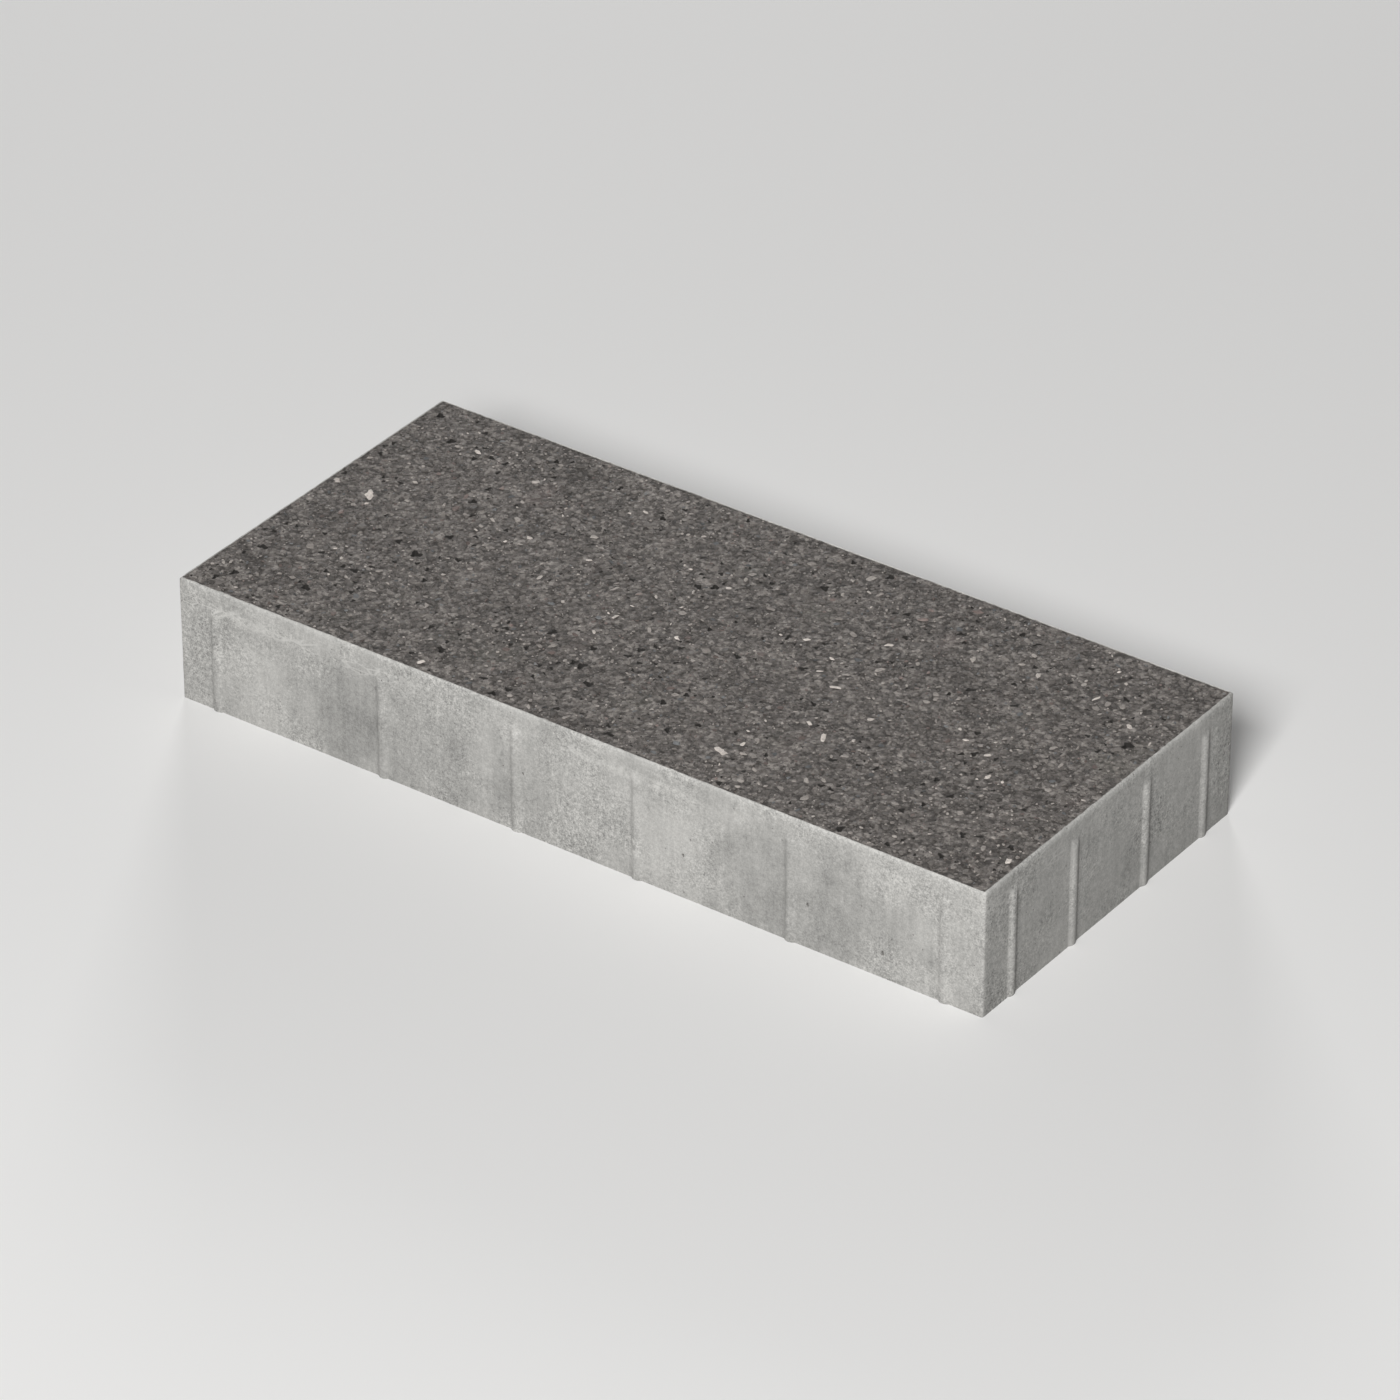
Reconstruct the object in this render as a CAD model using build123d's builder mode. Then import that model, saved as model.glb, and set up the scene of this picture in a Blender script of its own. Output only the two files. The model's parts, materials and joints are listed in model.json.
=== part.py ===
"""Paving block: one pressed concrete block with spacer ribs on its four sides.

Millimetres, +Z up. The origin is the middle of the bed face, and X runs along the block.
"""

import os

from build123d import *

# Body
block_length = 545.0
block_width = 244.0
block_height = 80.0

# Edges: the bevel round the walking face, and the rounding of the upright corners
arris_bevel = 1.5
corner_radius = 1.5

# Spacer ribs: low rounded ridges that run up from the bed and slope out below the walking face
rib_width = 7.0
rib_proud = 1.5
rib_root = 2.0
rib_setback = 12.0
rib_runout = 5.0

# Rib stations on a long side: the outer pair from the block's ends, the others from mid-length
side_rib_inset = 25.5
side_rib_inner = (-129.5, -37.0, 45.0, 147.0)

# Rib stations on an end: the outer pair from the long sides, the inner pair by its spacing
end_rib_inset = 27.5
end_rib_spacing = 71.0

rib_top = block_height - rib_setback
half_length = block_length / 2
half_width = block_width / 2

# One rib, standing on the plane of a wall that faces -Y, with its root let into the wall
with BuildPart() as rib:
    with BuildSketch(Plane.XY):
        with BuildLine():
            ThreePointArc((-rib_width / 2, 0), (0, -rib_proud), (rib_width / 2, 0))
            Polyline(
                (rib_width / 2, 0),
                (rib_width / 2, rib_root),
                (-rib_width / 2, rib_root),
                (-rib_width / 2, 0),
            )
        make_face()
    extrude(amount=rib_top)
    # The head slopes from the wall, at the rib's top, down to the full crest
    head_slope = Plane(origin=(0, 0, rib_top), x_dir=(1, 0, 0), z_dir=(0, -rib_runout, rib_proud))
    split(bisect_by=head_slope, keep=Keep.BOTTOM)

# The two long sides carry the same stations, and so do the two ends
side_outer = half_length - side_rib_inset
side_stations = (-side_outer, *side_rib_inner, side_outer)
end_outer = half_width - end_rib_inset
end_inner = end_rib_spacing / 2
end_stations = (-end_outer, -end_inner, end_inner, end_outer)

front_ribs = [Location((x, -half_width, 0)) for x in side_stations]
back_ribs = [Location((x, half_width, 0), (0, 0, 180)) for x in side_stations]
right_ribs = [Location((half_length, y, 0), (0, 0, 90)) for y in end_stations]
left_ribs = [Location((-half_length, y, 0), (0, 0, -90)) for y in end_stations]

with BuildPart() as paving_block:
    Box(
        block_length,
        block_width,
        block_height,
        align=(Align.CENTER, Align.CENTER, Align.MIN),
    )
    walking_face = paving_block.faces().sort_by(Axis.Z)[-1]
    chamfer(walking_face.edges(), length=arris_bevel)
    # The corners are rounded through the bevel, so it keeps one width all round
    with BuildSketch(Plane.XY):
        RectangleRounded(block_length, block_width, corner_radius)
    extrude(amount=block_height, mode=Mode.INTERSECT)
    with Locations(*front_ribs, *back_ribs, *right_ribs, *left_ribs):
        add(rib.part)

paving_block.part.label = "paving_block"

os.makedirs("parts", exist_ok=True)
export_step(paving_block.part, "parts/paving_block.step")
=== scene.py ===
"""Looks of a paving block: pressed concrete with pale walls and a dark granulated walking face.

The block's solid is loaded from model.glb, and a dressed body stands for it. The body has the
solid's walls, bevel and spacer ribs, and the fine relief of the real thing: a grainy face with pits,
air holes in the walls and a worn arris. The stones of the face mix are set into the face.
"""

from __future__ import annotations

import json
import logging
import math
from collections import defaultdict
from collections.abc import Callable, Sequence
from dataclasses import dataclass, field
from enum import Enum, IntEnum
from typing import Any

import bpy
import numpy as np
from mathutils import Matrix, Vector, noise

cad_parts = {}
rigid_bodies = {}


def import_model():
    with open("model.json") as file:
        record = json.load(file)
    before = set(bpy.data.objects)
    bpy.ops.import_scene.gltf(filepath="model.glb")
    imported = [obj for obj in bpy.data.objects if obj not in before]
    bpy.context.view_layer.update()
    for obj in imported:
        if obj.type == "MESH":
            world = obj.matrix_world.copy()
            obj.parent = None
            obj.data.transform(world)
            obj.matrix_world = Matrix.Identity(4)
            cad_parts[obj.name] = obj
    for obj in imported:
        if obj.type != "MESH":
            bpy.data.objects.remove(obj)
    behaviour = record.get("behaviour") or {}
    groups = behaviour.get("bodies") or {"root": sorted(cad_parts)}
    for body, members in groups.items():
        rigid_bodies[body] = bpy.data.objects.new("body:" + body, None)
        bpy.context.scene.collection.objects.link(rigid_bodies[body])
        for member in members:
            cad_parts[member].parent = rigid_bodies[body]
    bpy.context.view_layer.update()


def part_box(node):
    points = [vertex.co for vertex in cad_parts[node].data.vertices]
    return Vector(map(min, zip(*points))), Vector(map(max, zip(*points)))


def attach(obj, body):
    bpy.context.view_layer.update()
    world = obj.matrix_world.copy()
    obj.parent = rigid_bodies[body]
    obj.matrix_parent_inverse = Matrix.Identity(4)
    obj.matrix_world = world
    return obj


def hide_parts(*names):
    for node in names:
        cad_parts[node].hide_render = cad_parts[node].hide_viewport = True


LOG = logging.getLogger("paving_block")

MM = 0.001
NODE = "paving_block"
BODY = "root"
COLOUR_MAP = "OFBake"

Colour = tuple[float, float, float]
# The three coordinates of a point, or a factor for each
Place = tuple[float, float, float]
# Place along and across the block, and radius
Disc = tuple[float, float, float]
# A disc's values and the turn of its longer axis
Spot = tuple[float, float, float, float]
# The two ends of a range
Span = tuple[float, float]
# Discs of the face, by the square that each middle lies in
Squares = dict[tuple[int, int], list[Disc]]

# Patterns drawn out up a wall, and flattened along it
UPRIGHT: Place = (1.0, 1.0, 0.12)
LYING: Place = (1.0, 1.0, 3.0)


class Zone(IntEnum):
    """The finishes of the body, in the order of its material slots."""

    FACE = 0
    WALL = 1
    BED = 2


class Signal:
    """A value socket that Python operators work on: each one adds a Math node to its graph."""

    def __init__(self, graph: Graph, socket: bpy.types.NodeSocket) -> None:
        """Wraps a socket of the graph."""
        self.graph = graph
        self.socket = socket

    def _math(self, operation: str, first: Signal | float, second: Signal | float = 0.0) -> Signal:
        """One Math node on two operands."""
        made = self.graph.node("ShaderNodeMath", {"operation": operation}, {0: first, 1: second})
        return Signal(self.graph, made.outputs[0])

    def __add__(self, other: Signal | float) -> Signal:
        """self + other."""
        return self._math("ADD", self, other)

    def __radd__(self, other: float) -> Signal:
        """other + self."""
        return self._math("ADD", other, self)

    def __sub__(self, other: Signal | float) -> Signal:
        """self - other."""
        return self._math("SUBTRACT", self, other)

    def __rsub__(self, other: float) -> Signal:
        """other - self."""
        return self._math("SUBTRACT", other, self)

    def __mul__(self, other: Signal | float) -> Signal:
        """self * other."""
        return self._math("MULTIPLY", self, other)

    def __rmul__(self, other: float) -> Signal:
        """other * self."""
        return self._math("MULTIPLY", other, self)

    def __abs__(self) -> Signal:
        """abs(self)."""
        return self._math("ABSOLUTE", self)

    def least(self, other: Signal | float) -> Signal:
        """The smaller of the two."""
        return self._math("MINIMUM", self, other)

    def most(self, other: Signal | float) -> Signal:
        """The larger of the two."""
        return self._math("MAXIMUM", self, other)

    def rise(self, low: float, high: float) -> Signal:
        """A smooth step from 0 at low to 1 at high.

        Args:
            low: The value where the step starts.
            high: The value where it ends, which may be below low for a falling step.

        Returns:
            The stepped value.
        """
        if low > high:
            return 1.0 - self.rise(high, low)
        settings = {"interpolation_type": "SMOOTHSTEP"}
        made = self.graph.node("ShaderNodeMapRange", settings, {0: self, 1: low, 2: high})
        return Signal(self.graph, made.outputs[0])


class Graph:
    """The nodes of one material or world, added by type, settings and socket values."""

    def __init__(self, tree: bpy.types.NodeTree) -> None:
        """Starts with an empty tree."""
        self.tree = tree
        tree.nodes.clear()

    def node(
        self,
        kind: str,
        settings: dict[str, Any] | None = None,
        sockets: dict[int | str, Any] | None = None,
    ) -> bpy.types.Node:
        """Adds a node.

        Args:
            kind: The node's type name.
            settings: Its properties, set first. A ramp's stops are pairs of place and colour.
            sockets: Values or links of its inputs, by index or name.

        Returns:
            The new node.
        """
        made = self.tree.nodes.new(kind)
        for name, value in (settings or {}).items():
            if name == "stops":
                self._set_stops(made.color_ramp, value)
            else:
                setattr(made, name, value)
        for key, value in (sockets or {}).items():
            self._feed(made.inputs[key], value)
        return made

    @staticmethod
    def _set_stops(ramp: bpy.types.ColorRamp, stops: Sequence[tuple[float, Colour]]) -> None:
        """Gives a ramp its stops.

        Args:
            ramp: The ramp.
            stops: Pairs of place and colour, in order.
        """
        while len(ramp.elements) < len(stops):
            ramp.elements.new(1.0)
        for element, (place, colour) in zip(ramp.elements, stops, strict=True):
            element.position = place
            element.color = (*colour, 1.0)

    def _feed(self, socket: bpy.types.NodeSocket, value: Any) -> None:
        """Fills an input.

        Args:
            socket: The input.
            value: A socket or signal to link to it, or its own value.
        """
        if isinstance(value, Signal):
            value = value.socket
        if isinstance(value, bpy.types.NodeSocket):
            self.tree.links.new(value, socket)
        elif socket.type == "RGBA":
            socket.default_value = (*value, 1.0)
        else:
            socket.default_value = value

    def place(self) -> bpy.types.NodeSocket:
        """The point of the surface, in metres, in the block's own frame."""
        return self.node("ShaderNodeTexCoord").outputs["Object"]

    def stretched(self, place: bpy.types.NodeSocket, by: Place) -> bpy.types.NodeSocket:
        """The point with each coordinate multiplied, to draw a pattern out along an axis."""
        made = self.node("ShaderNodeVectorMath", {"operation": "MULTIPLY"}, {0: place, 1: by})
        return made.outputs[0]

    def parts(self, place: bpy.types.NodeSocket) -> tuple[Signal, Signal, Signal]:
        """The three coordinates of a point."""
        made = self.node("ShaderNodeSeparateXYZ", sockets={0: place})
        x, y, z = (Signal(self, out) for out in made.outputs)
        return x, y, z

    def attribute(self, name: str) -> Signal:
        """A value that the mesh holds at each point."""
        return Signal(self, self.node("ShaderNodeAttribute", {"attribute_name": name}).outputs["Fac"])

    def grains(self, place: bpy.types.NodeSocket, size: float) -> tuple[Signal, Signal]:
        """Cells of a broken pattern.

        Args:
            place: The point.
            size: The width of a cell, in metres.

        Returns:
            The distance from the cell's middle, in cells, and a number from 0 to 1 for each cell.
        """
        made = self.node("ShaderNodeTexVoronoi", sockets={"Vector": place, "Scale": 1.0 / size})
        chance = self.node("ShaderNodeSeparateColor", sockets={0: made.outputs["Color"]})
        return Signal(self, made.outputs["Distance"]), Signal(self, chance.outputs[0])

    def seams(self, place: bpy.types.NodeSocket, size: float) -> Signal:
        """The edges between the cells of a broken pattern.

        Args:
            place: The point.
            size: The width of a cell, in metres.

        Returns:
            The distance from the nearest edge, in cells.
        """
        settings = {"feature": "DISTANCE_TO_EDGE"}
        made = self.node("ShaderNodeTexVoronoi", settings, {"Vector": place, "Scale": 1.0 / size})
        return Signal(self, made.outputs["Distance"])

    def blend(self, share: Signal | float, first: Any, second: Any) -> bpy.types.NodeSocket:
        """A colour between two others."""
        settings = {"data_type": "RGBA"}
        return self.node("ShaderNodeMix", settings, {0: share, 6: first, 7: second}).outputs[2]

    def shaded(self, colour: Any, by: Signal) -> bpy.types.NodeSocket:
        """A colour made lighter or darker by a factor."""
        settings = {"data_type": "RGBA", "blend_type": "MULTIPLY"}
        return self.node("ShaderNodeMix", settings, {0: 1.0, 6: colour, 7: by}).outputs[2]

    def ramp(self, value: Signal, stops: Sequence[tuple[float, Colour]]) -> bpy.types.NodeSocket:
        """A colour looked up along a row of stops."""
        return self.node("ShaderNodeValToRGB", {"stops": stops}, {0: value}).outputs[0]

    def bump(self, height: Signal, depth: float) -> bpy.types.NodeSocket:
        """A normal from a height of 0 to 1, which stands for a relief of that depth in metres."""
        sockets = {"Height": height, "Distance": depth, "Strength": 1.0}
        return self.node("ShaderNodeBump", sockets=sockets).outputs[0]


@dataclass(frozen=True)
class Cloud:
    """A layer of soft noise: its blotches' width, finer layers, weight and stretch along the axes."""

    size: float
    detail: float = 2.0
    roughness: float = 0.5
    weight: float = 1.0
    stretch: Place | None = None

    def draw(self, graph: Graph, place: bpy.types.NodeSocket) -> Signal:
        """The noise before its weight.

        Args:
            graph: The graph that its nodes join.
            place: The point.

        Returns:
            A value about 0, from about -1 to 1.
        """
        if self.stretch is not None:
            place = graph.stretched(place, self.stretch)
        sockets = {"Vector": place, "Scale": 1.0 / self.size}
        sockets |= {"Detail": self.detail, "Roughness": self.roughness}
        made = graph.node("ShaderNodeTexNoise", sockets=sockets)
        return Signal(graph, made.outputs[0]) * 2.0 - 1.0

    def share(self, graph: Graph, place: bpy.types.NodeSocket) -> Signal:
        """The noise times its weight."""
        return self.weight * self.draw(graph, place)


def matte_material(name: str, dress: Callable[[Graph], dict[str, Any]]) -> bpy.types.Material:
    """Makes a material of one matte shader.

    Args:
        name: The material's name.
        dress: Draws the pattern into a graph, and gives the shader's sockets.

    Returns:
        The material.
    """
    material = bpy.data.materials.new(name)
    material.use_nodes = True
    graph = Graph(material.node_tree)
    shader = graph.node("ShaderNodeBsdfPrincipled", sockets=dress(graph))
    graph.node("ShaderNodeOutputMaterial", sockets={0: shader.outputs[0]})
    return material


def placed(name: str, data: bpy.types.ID) -> bpy.types.Object:
    """Makes an object of a mesh, a lamp or a camera.

    Args:
        name: The object's name.
        data: What it shows.

    Returns:
        The object, linked to the scene.
    """
    made = bpy.data.objects.new(name, data)
    bpy.context.scene.collection.objects.link(made)
    return made


def point_at(thing: bpy.types.Object, place: Place, target: Place) -> None:
    """Moves a lamp or a camera to a place and turns it to a target."""
    thing.location = place
    thing.rotation_euler = (Vector(target) - Vector(place)).to_track_quat("-Z", "Y").to_euler()


def hold(mesh: bpy.types.Mesh, name: str, values: np.ndarray) -> None:
    """Keeps a value at each point of a mesh, for its material to read."""
    mesh.attributes.new(name, "FLOAT", "POINT").data.foreach_set("value", values)


def listed(items: Any, name: str, kind: type = float, width: int = 1) -> np.ndarray:
    """Reads one property of all the vertices, corners or faces of a mesh.

    Args:
        items: The vertices, corners or faces.
        name: The property.
        kind: The type of its values.
        width: How many values each item has.

    Returns:
        The values, in rows of that width, or in one row where it is 1.
    """
    values = np.empty(width * len(items), kind)
    items.foreach_get(name, values)
    return values if width == 1 else values.reshape(-1, width)


@dataclass(frozen=True)
class BlockShape:
    """Sizes of the block in metres, about the middle of its bed face."""

    half_length: float
    half_width: float
    height: float
    rib_proud: float = 1.5 * MM
    rib_width: float = 7.0 * MM
    rib_setback: float = 12.0 * MM
    rib_runout: float = 5.0 * MM
    side_rib_inset: float = 25.5 * MM
    side_rib_inner: tuple[float, ...] = (-129.5 * MM, -37.0 * MM, 45.0 * MM, 147.0 * MM)
    end_rib_inset: float = 27.5 * MM
    end_rib_spacing: float = 71.0 * MM
    bevel: float = 1.5 * MM
    corner_radius: float = 1.5 * MM

    @classmethod
    def from_frame(cls) -> BlockShape:
        """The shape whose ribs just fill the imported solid's box."""
        low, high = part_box(NODE)
        size = high - low
        return cls(size.x / 2 - cls.rib_proud, size.y / 2 - cls.rib_proud, high.z)

    @property
    def rib_top(self) -> float:
        """Height where a rib's sloping head dies out."""
        return self.height - self.rib_setback

    @property
    def side_stations(self) -> tuple[float, ...]:
        """Places of the ribs along a long side."""
        outer = self.half_length - self.side_rib_inset
        return (-outer, *self.side_rib_inner, outer)

    @property
    def end_stations(self) -> tuple[float, ...]:
        """Places of the ribs across an end."""
        outer = self.half_width - self.end_rib_inset
        inner = self.end_rib_spacing / 2
        return (-outer, -inner, inner, outer)

    def rib_rise(self, along: np.ndarray, stations: Sequence[float], z: float) -> np.ndarray:
        """How far the ribs stand out of a wall.

        Args:
            along: Places along the wall.
            stations: The places of its ribs.
            z: The height.

        Returns:
            The rise at each place, which is 0 between ribs.
        """
        half = self.rib_width / 2
        radius = (half**2 + self.rib_proud**2) / (2 * self.rib_proud)
        off = np.abs(along[:, None] - np.array(stations)).min(axis=1)
        arc = np.sqrt(np.maximum(radius**2 - off**2, 0.0)) - (radius - self.rib_proud)
        slope = self.rib_proud * (self.rib_top - z) / self.rib_runout
        return np.clip(np.minimum(arc, slope), 0.0, None)


def sampled(rule: Callable[[Vector], float], points: np.ndarray) -> np.ndarray:
    """Applies a rule to points.

    Args:
        rule: Gives a value for a point.
        points: An array whose last axis is x, y and z.

    Returns:
        The values, in the same arrangement.
    """
    flat = points.reshape(-1, 3)
    values = np.fromiter((rule(Vector(p)) for p in flat), float, len(flat))
    return values.reshape(points.shape[:-1])


def lumps(size: float, layers: int) -> Callable[[Vector], float]:
    """A rule for noise about 0, with lumps of that size and half as large in each further layer."""
    return lambda point: noise.fractal(point / size, 1.0, 2.0, layers)


def grid(xs: np.ndarray, ys: np.ndarray, z: float) -> np.ndarray:
    """The points where level grid lines cross, in rows along X."""
    flat = np.stack(np.meshgrid(xs, ys), axis=-1)
    return np.concatenate([flat, np.full((*flat.shape[:2], 1), z)], axis=-1)


@dataclass(frozen=True)
class FaceRelief:
    """Relief of the walking face: calm and rough patches of grains, below the block's full height."""

    sunk: float = 0.85 * MM
    patch_size: float = 38.0 * MM
    patch_layers: int = 3
    grain_size: float = 4.2 * MM
    grain_height: float = 0.48 * MM
    grain_seam: float = 0.4
    grain_spread: float = 31.7
    grit_size: float = 2.0 * MM
    grit_height: float = 0.08 * MM
    lump_size: float = 13.0 * MM
    lump_height: float = 0.12 * MM
    calm: float = 0.35

    def patchiness(self, point: Vector) -> float:
        """From about 0 where the face is calm to 1 where it is rough."""
        value = lumps(self.patch_size, self.patch_layers)(point)
        return min(max(0.5 + value, 0.0), 1.0)

    def height(self, point: Vector) -> float:
        """Height of the face without its pits.

        Args:
            point: A point of the face.

        Returns:
            The height above the face's sunk level, which each grain has a random share of.
        """
        gaps, cells = noise.voronoi(point / self.grain_size)
        dome = min((gaps[1] - gaps[0]) / self.grain_seam, 1.0)
        chance = 0.5 + 0.5 * noise.cell(cells[0] * self.grain_spread)
        rough = self.calm + (1.0 - self.calm) * self.patchiness(point)
        grain = self.grain_height * rough * dome * chance
        grit = self.grit_height * noise.noise(point / self.grit_size)
        lump = self.lump_height * noise.noise(point / self.lump_size)
        return grain + grit + lump


class Shell:
    """A closed mesh under construction: points, how hollow each is, and faces by zone."""

    def __init__(self) -> None:
        """Starts with no points."""
        self.points: list[np.ndarray] = []
        self.hollow: list[np.ndarray] = []
        self.faces: list[list[int]] = []
        self.zones: list[int] = []
        self.count = 0

    def add_points(self, points: np.ndarray, hollow: float = 0.0) -> np.ndarray:
        """Adds points.

        Args:
            points: An array whose last axis is x, y and z.
            hollow: How deep in a hole they all are, from 0 to 1.

        Returns:
            Their numbers, in the same arrangement.
        """
        ids = np.arange(self.count, self.count + points[..., 0].size).reshape(points.shape[:-1])
        self.points.append(points.reshape(-1, 3))
        self.hollow.append(np.full(ids.size, hollow))
        self.count += ids.size
        return ids

    def add_faces(self, faces: np.ndarray, zone: Zone) -> None:
        """Adds faces, each a row of point numbers, anticlockwise seen from outside."""
        self.faces.extend(faces.tolist())
        self.zones.extend([int(zone)] * len(faces))

    def mesh(self, name: str, sharp_angle: float) -> bpy.types.Mesh:
        """The finished mesh.

        Args:
            name: Its name.
            sharp_angle: Edges that turn by more than this, in radians, stay crisp.

        Returns:
            A mesh with smooth faces, one material index for each zone and the attribute hollow.
        """
        used = np.unique(np.concatenate([np.array(face) for face in self.faces]))
        renumbered = np.full(self.count, -1)
        renumbered[used] = np.arange(len(used))
        points = np.concatenate(self.points)[used]
        faces = [[int(renumbered[i]) for i in face] for face in self.faces]
        mesh = bpy.data.meshes.new(name)
        mesh.from_pydata(points.tolist(), [], faces)
        mesh.polygons.foreach_set("material_index", self.zones)
        hold(mesh, "hollow", np.concatenate(self.hollow)[used])
        mesh.shade_smooth()
        mesh.set_sharp_from_angle(angle=sharp_angle)
        mesh.update()
        return mesh


@dataclass(frozen=True)
class Hole:
    """A pit or air hole: the cells that it takes, and its half axes, depth and outline.

    Lobes are the share by which its outline swings in and out, and rim_hollow is how much painted shade its
    rim gets, as a share of a hole's full depth.
    """

    row: int
    column: int
    rows: int
    columns: int
    half_length: float
    half_width: float
    depth: float
    turn: float = 0.0
    lobes: float = 0.0
    rim_hollow: float = 0.3


class Sheet:
    """A ruled part of a shell: rows and columns of points, with holes sunk into some cells."""

    # A hole's outline: its lobes, its random swing, and how far out into its cells it may reach
    LOBE_COUNT = 3.0
    RAGGED: Span = (0.75, 1.15)
    EDGE_SHARE = 0.85
    # The foot of a hole's wall, as shares of its reach and its depth
    WALL_SHARE = 0.78
    WALL_DEPTH = 0.62

    def __init__(self, shell: Shell, ids: np.ndarray, points: np.ndarray) -> None:
        """Takes the numbers and places of points that the shell already holds."""
        self.shell = shell
        self.ids = ids
        self.points = points
        self.whole = np.ones((ids.shape[0] - 1, ids.shape[1] - 1), bool)

    @staticmethod
    def ring(grid: np.ndarray) -> np.ndarray:
        """The outer entries of a grid, anticlockwise seen from outside."""
        return np.concatenate([grid[0, :-1], grid[:-1, -1], grid[-1, :0:-1], grid[:0:-1, 0]])

    def sink(self, hole: Hole, zone: Zone, chance: np.random.Generator) -> bool:
        """Cuts a hole out of the cells and lines it.

        Args:
            hole: The hole.
            zone: The finish of its lining.
            chance: Random source for its ragged outline.

        Returns:
            False where another hole already has one of the cells.
        """
        rows = slice(hole.row, hole.row + hole.rows)
        columns = slice(hole.column, hole.column + hole.columns)
        if not self.whole[rows, columns].all():
            return False
        self.whole[rows, columns] = False
        corners = np.s_[hole.row : hole.row + hole.rows + 1, hole.column : hole.column + hole.columns + 1]
        patch = self.points[corners]
        edge_ids = self.ring(self.ids[corners])
        edge = self.ring(patch)
        middle = edge.mean(axis=0)
        across = patch[0, -1] - patch[0, 0]
        across /= np.linalg.norm(across)
        outward = np.cross(patch[-1, -1] - patch[0, 0], patch[-1, 0] - patch[0, -1])
        outward /= np.linalg.norm(outward)
        upward = np.cross(outward, across)
        spokes = edge - middle
        turn = np.arctan2(spokes @ upward, spokes @ across)
        swung = turn - hole.turn
        reach = 1.0 / np.hypot(np.cos(swung) / hole.half_length, np.sin(swung) / hole.half_width)
        reach *= 1.0 + hole.lobes * np.cos(self.LOBE_COUNT * turn + chance.uniform(0.0, math.tau))
        reach *= chance.uniform(*self.RAGGED, len(turn))
        reach = np.minimum(reach, self.EDGE_SHARE * np.hypot(spokes @ upward, spokes @ across))
        arms = np.outer(np.cos(turn) * reach, across) + np.outer(np.sin(turn) * reach, upward)
        lift = np.outer(spokes @ outward, outward)
        rim = self.shell.add_points(middle + arms + lift, hole.rim_hollow)
        lining = middle + self.WALL_SHARE * arms - self.WALL_DEPTH * hole.depth * outward
        wall = self.shell.add_points(lining, 1.0)
        floor = self.shell.add_points((middle - hole.depth * outward)[None, :], 1.0)
        for outer, inner in ((edge_ids, rim), (rim, wall)):
            band = [outer, np.roll(outer, -1), np.roll(inner, -1), inner]
            self.shell.add_faces(np.stack(band, axis=1), zone)
        fan = [wall, np.roll(wall, -1), np.repeat(floor, len(wall))]
        self.shell.add_faces(np.stack(fan, axis=1), zone)
        return True

    def close(self, zone: Zone) -> None:
        """Adds the cells that no hole has taken, as faces of a zone."""
        low, high = self.ids[:-1], self.ids[1:]
        cells = [low[:, :-1], low[:, 1:], high[:, 1:], high[:, :-1]]
        self.shell.add_faces(np.stack(cells, axis=-1)[self.whole], zone)


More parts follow.
